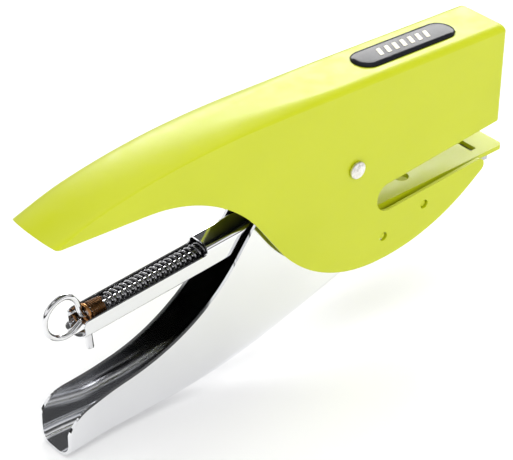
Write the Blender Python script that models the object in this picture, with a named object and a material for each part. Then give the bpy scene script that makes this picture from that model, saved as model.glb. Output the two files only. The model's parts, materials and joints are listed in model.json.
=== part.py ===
"""Hand-held plier stapler: a pressed steel body with a squeeze lever, a magazine and a pull-out loader.

Design frame: origin on the pivot rivet's axis at mid width, +X towards the staple head, +Y to the
left side, +Z up.  One root empty then puts the bottom centre of the whole stapler at the world origin.
The magazine and its parts are drawn in the magazine's own axes (u forward, w up), which the empty
"magazine_axes" pitches up about the pivot.
"""
import math

import bmesh
import bpy
from mathutils import Matrix, Vector

MM = 0.001
GAP = 0.3 * MM                      # clearance between pieces that touch

# ---- pressed body ---------------------------------------------------------------------------
BODY_WIDTH = 19.0 * MM
BODY_SHEET = 1.0 * MM
HEAD_FRONT = 56.1 * MM              # from the pivot to the front of the head
HEAD_TOP = 26.5 * MM
HEAD_LIP_Z = -3.7 * MM              # lower front corner of the head
HANDLE_TIP = -101.0 * MM
HANDLE_BEND_START = -25.0 * MM      # the top line is straight in front of this
HANDLE_DROP = 11.5 * MM             # how far the top line has fallen at the tip
HANDLE_DROP_POWER = 2.3
HANDLE_EDGE_Z = 12.7 * MM           # lower edge of the handle
ARCH_START = 0.0                    # the flat top turns into an arch between these two places
ARCH_END = -62.0 * MM
HEAD_SHOULDER_Y = 2.7 * MM
HEAD_SHOULDER_Z = 1.75 * MM
HANDLE_SHOULDER_Z = 1.6 * MM
TIP_SHOULDER_Z = 2.7 * MM
TIP_CORNER = 2.0 * MM
FRONT_RADIUS = 1.5 * MM
JAW_BOTTOM_Z = -34.0 * MM
JAW_NOSE_Z = -13.8 * MM
THROAT_REAR = 8.6 * MM
THROAT_HEIGHT = 8.9 * MM
THROAT_REAR_TOP_Z = -9.7 * MM

# ---- pivot ----------------------------------------------------------------------------------
RIVET_DIAMETER = 4.0 * MM
RIVET_HEAD_DIAMETER = 5.2 * MM
RIVET_HEAD_HEIGHT = 0.8 * MM
WASHER_DIAMETER = 8.0 * MM
INNER_WASHER = 0.55 * MM            # thickness
RETURN_SPRING_WIRE = 0.6 * MM
RETURN_SPRING_LEG = 13.0 * MM

# ---- magazine (own axes) --------------------------------------------------------------------
MAGAZINE_PITCH = math.radians(6.6)
MAGAZINE_WIDTH = 8.3 * MM
MAGAZINE_SHEET = 0.8 * MM
TROUGH_HEIGHT = 4.8 * MM
TROUGH_REAR = -89.2 * MM
TONGUE = 2.0 * MM                   # the floor runs on past the flanks by this much
TONGUE_CORNER = 2.4 * MM
TUBE_REAR = -48.0 * MM
NOSE_SHEET = 0.7 * MM
EAR_RADIUS = 5.0 * MM

# ---- loader ---------------------------------------------------------------------------------
ROD_DIAMETER = 2.2 * MM
SPRING_SIDE_ROOM = 0.55 * MM        # between the spring and the magazine's flanks
SPRING_HEIGHT_ROOM = 0.2 * MM       # between the spring and the floor or the roof
SPRING_WIRE = 0.8 * MM
SPRING_PITCH = 1.65 * MM
BUFFER_LENGTH = 4.7 * MM
BUFFER_WIRE = 0.6 * MM
BUFFER_PITCH = 0.85 * MM
COLLAR_THICK = 0.8 * MM
COLLAR_RISE = 0.5 * MM              # the collar and the short coil's rear end ride above the rod's axis
PUSHER_LENGTH = 7.4 * MM
RING_DIAMETER = 12.2 * MM           # to the middle of the wire
RING_RISE = 2.8 * MM                # from the rod's axis up to the loop's centre
RING_WIRE = 1.7 * MM
LATCH_DIAMETER = 2.2 * MM
LATCH_LENGTH = 8.4 * MM

# ---- lever ----------------------------------------------------------------------------------
LEVER_SHEET = 0.9 * MM
LEVER_TAIL = -96.8 * MM
LEVER_TAIL_BULGE = 1.1 * MM         # the tail's end is rounded by this much in plan
LEVER_TAIL_Z = -55.2 * MM
LEVER_GRIP_WAIST = 0.45 * MM        # the channel narrows by this much at the grip
LEVER_TAIL_FLARE = 0.7 * MM         # and widens by this much at the tail
LEVER_CORNER = 4.0 * MM

# ---- driver ---------------------------------------------------------------------------------
BLADE_SHEET = 0.6 * MM
DRIVER_PIN_W = 9.0 * MM
DRIVER_PIN_DIAMETER = 3.0 * MM
DRIVER_RIVET_DIAMETER = 1.0 * MM
CARRIER_BOTTOM = 5.8 * MM
CARRIER_TOP = 13.0 * MM

# ---- anvil ----------------------------------------------------------------------------------
ANVIL_REACH = 5.2 * MM              # how far the plate stands out in front of the head
ANVIL_HALF_WIDTH = 6.65 * MM
ANVIL_SHEET = 1.4 * MM
ANVIL_DROP = 1.9 * MM               # from the jaw's nose down to the plate
ANVIL_SLOPE = math.radians(2.5)
ANVIL_SLOT_LENGTH = 2.2 * MM
ANVIL_SLOT_HALF = 3.3 * MM
ANVIL_HOLE_X = 26.6 * MM
ANVIL_HOLE_DIAMETER = 4.6 * MM
ANVIL_PIN_DIAMETER = 2.2 * MM
ANVIL_PINS = (("anvil_pin_rear", 11.7 * MM, -26.6 * MM), ("anvil_pin_front", 27.2 * MM, -21.7 * MM))

# ---- badge ----------------------------------------------------------------------------------
BADGE_LENGTH = 36.0 * MM
BADGE_WIDTH = 9.2 * MM
BADGE_SETBACK = 13.7 * MM           # from the front of the head
BADGE_RISE = 0.9 * MM
BADGE_POCKET = 0.4 * MM

# ---- values that follow from the ones above ---------------------------------------------------
HALF_WIDTH = BODY_WIDTH / 2
RIVET_RADIUS = RIVET_DIAMETER / 2
HOLE_RADIUS = RIVET_RADIUS + GAP
RETURN_COIL_INNER = RIVET_RADIUS + 0.2 * MM
JAW_NOSE_X = HEAD_FRONT + 0.2 * MM
MAGAZINE_HALF = MAGAZINE_WIDTH / 2
MAGAZINE_BORE_HALF = MAGAZINE_HALF - MAGAZINE_SHEET
SPRING_DIAMETER = 2 * (MAGAZINE_BORE_HALF - SPRING_SIDE_ROOM)
BUFFER_DIAMETER = SPRING_DIAMETER - 0.3 * MM
COLLAR_DIAMETER = SPRING_DIAMETER - 0.2 * MM
ROOF_W = -(RETURN_COIL_INNER + RETURN_SPRING_WIRE + GAP)
CEILING_W = ROOF_W - MAGAZINE_SHEET
FLOOR_W = CEILING_W - SPRING_DIAMETER - 2 * SPRING_HEIGHT_ROOM
MAGAZINE_BOTTOM = FLOOR_W - MAGAZINE_SHEET
ROD_W = (CEILING_W + FLOOR_W) / 2   # height of the rod and of both springs
LEVER_HALF_PIVOT = MAGAZINE_HALF + INNER_WASHER + 2 * GAP + LEVER_SHEET
LEVER_HALF_GRIP = LEVER_HALF_PIVOT - LEVER_GRIP_WAIST
LEVER_HALF_TAIL = LEVER_HALF_PIVOT + LEVER_TAIL_FLARE
NOSE_FRONT = HEAD_FRONT - 2.9 * MM
BLADE_FRONT = NOSE_FRONT - NOSE_SHEET - GAP
BLADE_REAR = BLADE_FRONT - BLADE_SHEET
BLADE_WIDTH = 2 * (MAGAZINE_BORE_HALF - GAP)
TUBE_FRONT = BLADE_REAR - GAP
PUSHER_FRONT = TUBE_FRONT - 0.4 * MM
PUSHER_REAR = PUSHER_FRONT - PUSHER_LENGTH
CARRIER_FRONT = BLADE_REAR - GAP
DRIVER_PIN_U = CARRIER_FRONT - DRIVER_PIN_DIAMETER / 2 - 2.8 * MM
CARRIER_REAR = DRIVER_PIN_U - DRIVER_PIN_DIAMETER / 2 - 1.1 * MM
LEVER_ARM_END = DRIVER_PIN_U + DRIVER_PIN_DIAMETER / 2 + 1.5 * MM
COLLAR_U = TROUGH_REAR + 2.9 * MM
RING_CENTRE_U = COLLAR_U - 6.1 * MM
LATCH_TOP_W = FLOOR_W + 0.45 * MM
LATCH_TIP_W = LATCH_TOP_W - LATCH_LENGTH
ANVIL_FRONT = HEAD_FRONT + ANVIL_REACH
ANVIL_REF = JAW_NOSE_X - 5.9 * MM
ANVIL_Z = JAW_NOSE_Z - ANVIL_DROP   # top of the plate at ANVIL_REF
ANVIL_SLOT = (ANVIL_FRONT - 9.8 * MM, ANVIL_FRONT - 9.8 * MM + ANVIL_SLOT_LENGTH)
BADGE_CENTRE = HEAD_FRONT - BADGE_SETBACK - BADGE_LENGTH / 2
JAW_SLOPE = math.radians(36.8)

COLOURS = {
    "lime paint": ((0.60, 0.67, 0.055), 0.35, 0.0),
    "chrome": ((0.80, 0.81, 0.83), 0.08, 1.0),
    "nickel": ((0.70, 0.68, 0.64), 0.25, 1.0),
    "spring steel": ((0.35, 0.35, 0.36), 0.28, 1.0),
    "copper wire": ((0.55, 0.25, 0.10), 0.3, 1.0),
    "black badge": ((0.03, 0.03, 0.035), 0.3, 0.0),
    "hard steel": ((0.45, 0.45, 0.46), 0.35, 1.0),
}


# ---- outlines -------------------------------------------------------------------------------
def rounded(corners, steps=8):
    """A closed outline from corners (x, z, radius), each turned into a tangent arc."""
    outline = []
    count = len(corners)
    for i, (x, z, radius) in enumerate(corners):
        here = Vector((x, z))
        if radius <= 0:
            outline.append(here)
            continue
        back = (Vector(corners[i - 1][:2]) - here).normalized()
        ahead = (Vector(corners[(i + 1) % count][:2]) - here).normalized()
        half = back.angle(ahead) / 2
        centre = here + (back + ahead).normalized() * (radius / math.sin(half))
        reach = radius / math.tan(half)
        start = here + back * reach - centre
        sweep = start.angle_signed(here + ahead * reach - centre)
        for k in range(steps + 1):
            turned = start.copy()
            turned.rotate(Matrix.Rotation(-sweep * k / steps, 2))
            outline.append(centre + turned)
    return outline


def box_outline(x0, x1, z0, z1, radius=0.0, steps=4):
    return rounded([(x0, z0, radius), (x1, z0, radius), (x1, z1, radius), (x0, z1, radius)], steps)


def ease(t):
    t = min(1.0, max(0.0, t))
    return t * t * (3 - 2 * t)


# ---- meshes ---------------------------------------------------------------------------------
def to_object(name, mesh_data, colour, parent):
    mesh = bpy.data.meshes.new(name)
    bmesh.ops.recalc_face_normals(mesh_data, faces=mesh_data.faces)
    mesh_data.to_mesh(mesh)
    mesh_data.free()
    mesh.shade_smooth()
    mesh.set_sharp_from_angle(angle=math.radians(35))
    obj = bpy.data.objects.new(name, mesh)
    bpy.context.scene.collection.objects.link(obj)
    obj.parent = parent
    if colour:
        mesh.materials.append(material(colour))
    else:
        obj.hide_render = True
        obj.display_type = "WIRE"
    return obj


def material(name):
    found = bpy.data.materials.get(name)
    if found:
        return found
    colour, roughness, metallic = COLOURS[name]
    made = bpy.data.materials.new(name)
    made.use_nodes = True
    shader = made.node_tree.nodes["Principled BSDF"]
    shader.inputs["Base Color"].default_value = (*colour, 1)
    shader.inputs["Roughness"].default_value = roughness
    shader.inputs["Metallic"].default_value = metallic
    return made


def prism(name, outline, y0, y1, colour=None, parent=None, axis="Y"):
    """An outline pushed through from y0 to y1; axis "Z" reads the outline as x, y instead."""
    bm = bmesh.new()
    if axis == "Y":
        loops = [[bm.verts.new((p[0], y, p[1])) for p in outline] for y in (y0, y1)]
    else:
        loops = [[bm.verts.new((p[0], p[1], y)) for p in outline] for y in (y0, y1)]
    bridge_and_cap(bm, loops)
    return to_object(name, bm, colour, parent)


def bridge_and_cap(bm, loops, closed=False):
    count = len(loops[0])
    pairs = list(zip(loops, loops[1:]))
    if closed:
        pairs.append((loops[-1], loops[0]))
    for low, high in pairs:
        for i in range(count):
            j = (i + 1) % count
            bm.faces.new((low[i], low[j], high[j], high[i]))
    if not closed:
        bm.faces.new(loops[0])
        bm.faces.new(list(reversed(loops[-1])))


def tube(name, radius, bore, y0, y1, colour=None, parent=None, at=(0, 0), sides=24):
    """A ring or a disc whose axis lies along Y, through at = (x, z)."""
    bm = bmesh.new()
    profile = [(radius, y0), (radius, y1)] + ([(bore, y1), (bore, y0)] if bore else [])
    loops = []
    for r, y in profile:
        angles = [2 * math.pi * k / sides for k in range(sides)]
        loops.append([bm.verts.new((at[0] + r * math.cos(a), y, at[1] + r * math.sin(a))) for a in angles])
    bridge_and_cap(bm, loops, closed=bool(bore))
    return to_object(name, bm, colour, parent)


def turned_u(name, profile, colour, parent, sides=16, bored=False, at=(0.0, ROD_W)):
    """A turned piece along u through at = (y, w), the rod's axis by default; profile lists (u, radius)."""
    bm = bmesh.new()
    loops = []
    for u, r in profile:
        angles = [2 * math.pi * k / sides for k in range(sides)]
        loops.append([bm.verts.new((u, at[0] + r * math.cos(a), at[1] + r * math.sin(a))) for a in angles])
    bridge_and_cap(bm, loops, closed=bored)
    return to_object(name, bm, colour, parent)


def sweep(name, path, radius, colour, parent, sides=8):
    """A round wire along a path of points."""
    bm = bmesh.new()
    loops = []
    side = None
    for i, point in enumerate(path):
        ahead = path[min(i + 1, len(path) - 1)] - path[max(i - 1, 0)]
        ahead.normalize()
        side = side - ahead * side.dot(ahead) if side else ahead.orthogonal()
        side.normalize()
        other = ahead.cross(side)
        angles = [2 * math.pi * k / sides for k in range(sides)]
        loops.append([bm.verts.new(point + side * (radius * math.cos(a)) + other * (radius * math.sin(a)))
                      for a in angles])
    bridge_and_cap(bm, loops)
    return to_object(name, bm, colour, parent)


def coil_path(centre, axis, start_side, radius, length, turns, steps=8):
    other = axis.cross(start_side)
    path = []
    for k in range(int(turns * steps) + 1):
        angle = 2 * math.pi * k / steps
        along = axis * (length * k / (turns * steps))
        path.append(centre + along + start_side * (radius * math.cos(angle)) + other * (radius * math.sin(angle)))
    return path


def cut(obj, cutter, operation="DIFFERENCE"):
    step = obj.modifiers.new(cutter.name, "BOOLEAN")
    step.operation = operation
    step.solver = "EXACT"
    step.object = cutter
    return obj


def skin(name, outer, inner, colour, parent, front_closed):
    """A sheet-metal piece from matching outer and inner rows of points, one row for each station."""
    bm = bmesh.new()
    out = [[bm.verts.new(p) for p in row] for row in outer]
    inn = [[bm.verts.new(p) for p in row] for row in inner]
    last = len(out[0]) - 1
    for rows in (out, inn):
        for a, b in zip(rows, rows[1:]):
            for j in range(last):
                bm.faces.new((a[j], a[j + 1], b[j + 1], b[j]))
    for (a, b), (c, d) in zip(zip(out, out[1:]), zip(inn, inn[1:])):
        for j in (0, last):
            bm.faces.new((a[j], b[j], d[j], c[j]))
    for j in range(last):
        bm.faces.new((out[0][j], out[0][j + 1], inn[0][j + 1], inn[0][j]))
    if front_closed:
        bm.faces.new(out[-1])
        bm.faces.new(inn[-1])
        bm.faces.new((out[-1][0], out[-1][last], inn[-1][last], inn[-1][0]))
    else:
        for j in range(last):
            bm.faces.new((out[-1][j], out[-1][j + 1], inn[-1][j + 1], inn[-1][j]))
    return to_object(name, bm, colour, parent)


# ---- pressed body ---------------------------------------------------------------------------
def crown(x):
    """Height of the body's top line."""
    fall = max(0.0, (HANDLE_BEND_START - x) / (HANDLE_BEND_START - HANDLE_TIP))
    return HEAD_TOP - HANDLE_DROP * fall ** HANDLE_DROP_POWER


def body_section(x, inset, floor_z, arc_steps=6):
    """Half ring of the body at x, moved inwards by inset, from the lower left edge over the top."""
    arching = ease((ARCH_START - x) / (ARCH_START - ARCH_END))
    at_tip = ease((HANDLE_TIP + 17 * MM - x) / (20 * MM))
    shoulder_y = HEAD_SHOULDER_Y + (HALF_WIDTH - HEAD_SHOULDER_Y) * arching - inset
    shoulder_z = HEAD_SHOULDER_Z + (HANDLE_SHOULDER_Z - HEAD_SHOULDER_Z) * arching
    shoulder_z = max(0.4 * MM, shoulder_z + (TIP_SHOULDER_Z - HANDLE_SHOULDER_Z) * at_tip - inset)
    half = HALF_WIDTH - inset
    top = crown(x) - inset
    side = [(half, floor_z), (half, top - shoulder_z)]
    for k in range(1, arc_steps + 1):
        angle = math.pi / 2 * k / arc_steps
        across = half - shoulder_y + shoulder_y * math.cos(angle)
        side.append((across, top - shoulder_z + shoulder_z * math.sin(angle)))
    side.append((max(0.0, half - shoulder_y) * 0.5, top))
    return [Vector((x, -y, z)) for y, z in side] + [Vector((x, y, z)) for y, z in reversed(side)]


def body_stations():
    rear = [HANDLE_TIP + (HANDLE_BEND_START - HANDLE_TIP) * k / 16 for k in range(17)]
    middle = [-10 * MM, 5 * MM, 25 * MM, 45 * MM]
    front = [HEAD_FRONT - FRONT_RADIUS * (1 - math.sin(math.pi / 2 * k / 4)) for k in range(5)]
    return rear + middle + front


def front_inset(x):
    """How far the pressed front corner has turned in at x."""
    depth = max(0.0, x - (HEAD_FRONT - FRONT_RADIUS))
    return FRONT_RADIUS - math.sqrt(max(0.0, FRONT_RADIUS ** 2 - depth ** 2))


def throat_top(x):
    """Lower edge line of the head."""
    rise = (HEAD_LIP_Z - THROAT_REAR_TOP_Z) / (HEAD_FRONT - THROAT_REAR)
    return THROAT_REAR_TOP_Z + rise * (x - THROAT_REAR)


def body_side_outline():
    """Side view of the body below its top line, with the throat between head and jaw."""
    past = 0.3 * MM
    above = HEAD_TOP + 15 * MM
    nose_run = (JAW_NOSE_Z - JAW_BOTTOM_Z) / math.tan(JAW_SLOPE)
    return rounded([
        (HANDLE_TIP - 2 * MM, HANDLE_EDGE_Z + 3.8 * MM, 0),
        (HANDLE_TIP + 2.5 * MM, HANDLE_EDGE_Z + 0.4 * MM, 4 * MM),
        (-47.5 * MM, HANDLE_EDGE_Z - 0.4 * MM, 47 * MM),
        (-13.7 * MM, JAW_BOTTOM_Z, 43 * MM),
        (JAW_NOSE_X - nose_run, JAW_BOTTOM_Z, 62 * MM),
        (JAW_NOSE_X, JAW_NOSE_Z, 2.2 * MM),
        (THROAT_REAR, THROAT_REAR_TOP_Z - THROAT_HEIGHT, 4.2 * MM),
        (THROAT_REAR, THROAT_REAR_TOP_Z, 4.2 * MM),
        (HEAD_FRONT + past, throat_top(HEAD_FRONT + past), 1.8 * MM),
        (HEAD_FRONT + past, above, 0),
        (HANDLE_TIP - 2 * MM, above, 0),
    ])


def make_body(parent):
    deep = JAW_BOTTOM_Z - 10 * MM
    outer, inner = [], []
    for x in body_stations():
        turned = front_inset(x)
        outer.append(body_section(x, turned, deep))
        back = min(x, HEAD_FRONT - BODY_SHEET - 0.001 * MM * (HEAD_FRONT - x) / MM)
        inner.append(body_section(back, BODY_SHEET + 0.2 * turned, deep))
    shell = skin("body_shell", outer, inner, "lime paint", parent, front_closed=True)
    trim = prism("body_trim", body_side_outline(), -HALF_WIDTH - 5 * MM, HALF_WIDTH + 5 * MM, parent=parent)
    cut(shell, trim, "INTERSECT")
    past = 5 * MM
    ahead = HEAD_FRONT + 9 * MM
    tip_end = HANDLE_TIP + past
    beside = HALF_WIDTH + 0.01 * MM
    wide = HALF_WIDTH + past
    plan = rounded([(HANDLE_TIP, -beside, TIP_CORNER), (HANDLE_TIP, beside, TIP_CORNER), (tip_end, beside, 0),
                    (tip_end, wide, 0), (ahead, wide, 0), (ahead, -wide, 0), (tip_end, -wide, 0),
                    (tip_end, -beside, 0)], 5)
    cut(shell, prism("tip_plan", plan, deep, HEAD_TOP + past, parent=parent, axis="Z"), "INTERSECT")
    cut(shell, tube("pivot_hole", HOLE_RADIUS, 0, -HALF_WIDTH * 2, HALF_WIDTH * 2, parent=parent))
    for name, x, z in ANVIL_PINS:
        hole = tube(name + "_hole", ANVIL_PIN_DIAMETER / 2 + GAP, 0, -HALF_WIDTH * 2, HALF_WIDTH * 2,
                    parent=parent, at=(x, z), sides=12)
        cut(shell, hole)
    pocket = prism("badge_pocket", badge_outline(GAP), HEAD_TOP - BADGE_POCKET, HEAD_TOP + 2 * MM,
                   parent=parent, axis="Z")
    cut(shell, pocket)


def badge_outline(grow):
    half_length = BADGE_LENGTH / 2 + grow
    half_width = BADGE_WIDTH / 2 + grow
    return box_outline(BADGE_CENTRE - half_length, BADGE_CENTRE + half_length, -half_width, half_width,
                       half_width - 0.2 * MM, 6)


def make_badge(parent):
    floor_z = HEAD_TOP - BADGE_POCKET + GAP
    bm = bmesh.new()
    levels = ((0.0, floor_z), (0.0, HEAD_TOP + BADGE_RISE * 0.5), (0.9 * MM, HEAD_TOP + BADGE_RISE))
    loops = [[bm.verts.new((p[0], p[1], z)) for p in badge_outline(-inset)] for inset, z in levels]
    bridge_and_cap(bm, loops)
    to_object("badge", bm, "black badge", parent)


# ---- anvil ----------------------------------------------------------------------------------
def anvil_top(x):
    return ANVIL_Z + math.tan(ANVIL_SLOPE) * (x - ANVIL_REF)


def make_anvil(parent):
    rear = THROAT_REAR + 0.7 * MM
    steps = (rear, ANVIL_FRONT)
    plate_outline = [(x, anvil_top(x)) for x in steps] + [(x, anvil_top(x) - ANVIL_SHEET) for x in reversed(steps)]
    plate = prism("anvil_plate", plate_outline, -ANVIL_HALF_WIDTH, ANVIL_HALF_WIDTH, "lime paint", parent)
    corner = 1.6 * MM
    rounds = rounded([(rear - MM, -ANVIL_HALF_WIDTH - MM, 0), (rear - MM, ANVIL_HALF_WIDTH + MM, 0),
                      (ANVIL_FRONT + 0.1 * MM, ANVIL_HALF_WIDTH + 0.1 * MM, corner),
                      (ANVIL_FRONT + 0.1 * MM, -ANVIL_HALF_WIDTH - 0.1 * MM, corner)], 4)
    cut(plate, prism("anvil_corners", rounds, ANVIL_Z - 20 * MM, ANVIL_Z + 20 * MM, parent=parent, axis="Z"),
        "INTERSECT")
    sheet = 1.2 * MM
    deep = anvil_top(rear) - ANVIL_SHEET
    flange_end = HEAD_FRONT - 12.1 * MM
    flange = rounded([(rear + 0.5 * MM, deep + 0.6 * MM, 0), (rear + 0.5 * MM, JAW_BOTTOM_Z + 4 * MM, 2 * MM),
                      (24 * MM, JAW_BOTTOM_Z + 6.5 * MM, 4 * MM), (flange_end, ANVIL_Z - 4.8 * MM, 1.5 * MM),
                      (flange_end, deep + 1.8 * MM, 0)], 4)
    for side in (-1, 1):
        y = side * (ANVIL_HALF_WIDTH - sheet / 2)
        wall = prism(f"anvil_flange_{side}", flange, y - sheet / 2 + 0.01 * MM, y + sheet / 2 - 0.01 * MM,
                     parent=parent)
        cut(plate, wall, "UNION")
    slot = box_outline(ANVIL_SLOT[0], ANVIL_SLOT[1], -ANVIL_SLOT_HALF, ANVIL_SLOT_HALF)
    cut(plate, prism("anvil_slot", slot, ANVIL_Z - 4 * MM, ANVIL_Z + 4 * MM, parent=parent, axis="Z"))
    angles = [2 * math.pi * k / 20 for k in range(20)]
    radius = ANVIL_HOLE_DIAMETER / 2
    round_hole = [(ANVIL_HOLE_X + radius * math.cos(a), radius * math.sin(a)) for a in angles]
    cut(plate, prism("anvil_hole", round_hole, ANVIL_Z - 6 * MM, ANVIL_Z + 4 * MM, parent=parent, axis="Z"))
    for name, x, z in ANVIL_PINS:
        cut(plate, tube(name + "_bore", ANVIL_PIN_DIAMETER / 2 + GAP, 0, -HALF_WIDTH, HALF_WIDTH,
                        parent=parent, at=(x, z), sides=12))
        reach = HALF_WIDTH - 0.45 * MM
        tube(name, ANVIL_PIN_DIAMETER / 2, 0, -reach, reach, "lime paint", parent, at=(x, z), sides=12)
    make_die(parent)


def make_die(parent):
    """Hardened block under the slot, with a clinch groove for each staple leg."""
    front, rear = ANVIL_SLOT[1] + 2.5 * MM, ANVIL_SLOT[0] - 2.5 * MM
    under = ANVIL_SHEET + GAP
    thick = 1.8 * MM
    outline = [(rear, anvil_top(rear) - under), (front, anvil_top(front) - under),
               (front, anvil_top(front) - under - thick), (rear, anvil_top(rear) - under - thick)]
    die = prism("anvil_die", outline, -ANVIL_HALF_WIDTH + MM, ANVIL_HALF_WIDTH - MM, "hard steel", parent)
    middle = (front + rear) / 2
    for side in (-1, 1):
        bm = bmesh.new()
        groove = [(0.35, 1.0), (0.35, -0.1), (1.0, -0.6), (2.0, -0.6), (2.9, 0.1), (2.9, 1.0)]
        base = anvil_top(middle) - under
        loops = [[bm.verts.new((x, side * y * MM, base + z * MM)) for y, z in groove]
                 for x in (middle - 0.8 * MM, middle + 0.8 * MM)]
        bridge_and_cap(bm, loops)
        cut(die, to_object(f"clinch_groove_{side}", bm, None, parent))


# ---- pivot ----------------------------------------------------------------------------------
def make_pivot(parent):
    bm = bmesh.new()
    head = RIVET_HEAD_DIAMETER / 2
    face = HALF_WIDTH + GAP
    end = [(head, face), (head, face + 0.3 * RIVET_HEAD_HEIGHT),
           (head * 0.8, face + 0.8 * RIVET_HEAD_HEIGHT), (head * 0.35, face + RIVET_HEAD_HEIGHT)]
    profile = [(r, -y) for r, y in reversed(end)] + [(RIVET_RADIUS, -face), (RIVET_RADIUS, face)] + end
    sides = 24
    loops = []
    for r, y in profile:
        angles = [2 * math.pi * k / sides for k in range(sides)]
        loops.append([bm.verts.new((r * math.cos(a), y, r * math.sin(a))) for a in angles])
    bridge_and_cap(bm, loops)
    to_object("pivot_rivet", bm, "nickel", parent)
    inner = HALF_WIDTH - BODY_SHEET - GAP
    outer = LEVER_HALF_PIVOT + GAP
    tube("outer_washer_right", WASHER_DIAMETER / 2, HOLE_RADIUS, -inner, -outer, "hard steel", parent)
    tube("outer_washer_left", WASHER_DIAMETER / 2, HOLE_RADIUS, outer, inner, "hard steel", parent)


def make_return_spring(axes):
    """Torsion spring on the rivet between the ears; its legs press the handle and the magazine apart."""
    wire = RETURN_SPRING_WIRE / 2
    radius = RETURN_COIL_INNER + wire
    span = 2 * (MAGAZINE_BORE_HALF - GAP - wire)
    path = coil_path(Vector((0, -span / 2, 0)), Vector((0, 1, 0)), Vector((0, 0, 1)), radius, span, 4, 12)
    leg = RETURN_SPRING_LEG
    under_handle = HEAD_TOP - BODY_SHEET - GAP - wire
    turn = Matrix.Rotation(MAGAZINE_PITCH, 3, "Y")
    upper_end = turn @ Vector((-leg, path[0].y, under_handle))
    upper = [upper_end, path[0] + Vector((-1.5 * MM, 0, 1.0 * MM))]
    on_roof = ROOF_W + GAP + wire
    lower = [Vector((-radius - 2 * MM, path[-1].y, on_roof + 0.6 * MM)), Vector((-leg, path[-1].y, on_roof))]
    quarter = coil_path(Vector((0, span / 2, 0)), Vector((0, 1, 0)), Vector((0, 0, 1)), radius, 0.1 * MM, 0.75, 12)
    sweep("return_spring", upper + path + quarter[1:] + lower, wire, "spring steel", axes, 6)


# ---- magazine -------------------------------------------------------------------------------
def make_magazine(axes):
    rear = TROUGH_REAR - TONGUE
    rim = MAGAZINE_BOTTOM + TROUGH_HEIGHT
    flank = rounded([
        (rear, MAGAZINE_BOTTOM, 0), (NOSE_FRONT, MAGAZINE_BOTTOM, 0),
        (NOSE_FRONT, ROOF_W, 0), (9 * MM, ROOF_W, 3 * MM),
        (EAR_RADIUS, EAR_RADIUS, EAR_RADIUS * 0.98), (-EAR_RADIUS, EAR_RADIUS, EAR_RADIUS * 0.98),
        (-9 * MM, ROOF_W, 3 * MM), (TUBE_REAR, ROOF_W, 1.2 * MM),
        (TUBE_REAR - 0.4 * MM, rim, 0.8 * MM), (TROUGH_REAR, rim, 1.6 * MM),
        (TROUGH_REAR, FLOOR_W + 0.1 * MM, 0.6 * MM), (rear, FLOOR_W + 0.1 * MM, 0),
    ], 5)
    shell = prism("magazine_tube", flank, -MAGAZINE_HALF, MAGAZINE_HALF, "chrome", axes)
    bore = MAGAZINE_BORE_HALF
    far = 20 * MM
    cuts = (
        ("magazine_bore", box_outline(-0.12, 0.08, FLOOR_W, CEILING_W), bore),
        ("ear_space", box_outline(-16 * MM, 16 * MM, ROOF_W, 9 * MM), bore),
        ("nose_space", box_outline(TUBE_FRONT, 0.08, -far, far), bore),
        ("latch_notch", box_outline(-0.12, COLLAR_U + 1.9 * MM, -far, FLOOR_W + 0.05 * MM),
         LATCH_DIAMETER / 2 + GAP),
    )
    for name, outline, half in cuts:
        cut(shell, prism(name, outline, -half, half, parent=axes))
    cut(shell, tube("magazine_pivot_hole", HOLE_RADIUS, 0, -far, far, parent=axes))
    beside = MAGAZINE_HALF + 0.01 * MM
    plan = rounded([(rear, -beside, TONGUE_CORNER), (rear, beside, TONGUE_CORNER), (NOSE_FRONT + far, beside, 0),
                    (NOSE_FRONT + far, -beside, 0)], 5)
    cut(shell, prism("tongue_plan", plan, -far, far, parent=axes, axis="Z"), "INTERSECT")
    nose = box_outline(NOSE_FRONT - NOSE_SHEET, NOSE_FRONT, MAGAZINE_BOTTOM, ROOF_W + 3 * MM)
    prism("nose_plate", nose, -bore + GAP, bore - GAP, "chrome", axes)
    inner = MAGAZINE_HALF + GAP
    outer = LEVER_HALF_PIVOT - LEVER_SHEET - GAP
    tube("inner_washer_right", WASHER_DIAMETER / 2, HOLE_RADIUS, -outer, -inner, "hard steel", axes)
    tube("inner_washer_left", WASHER_DIAMETER / 2, HOLE_RADIUS, inner, outer, "hard steel", axes)


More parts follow.
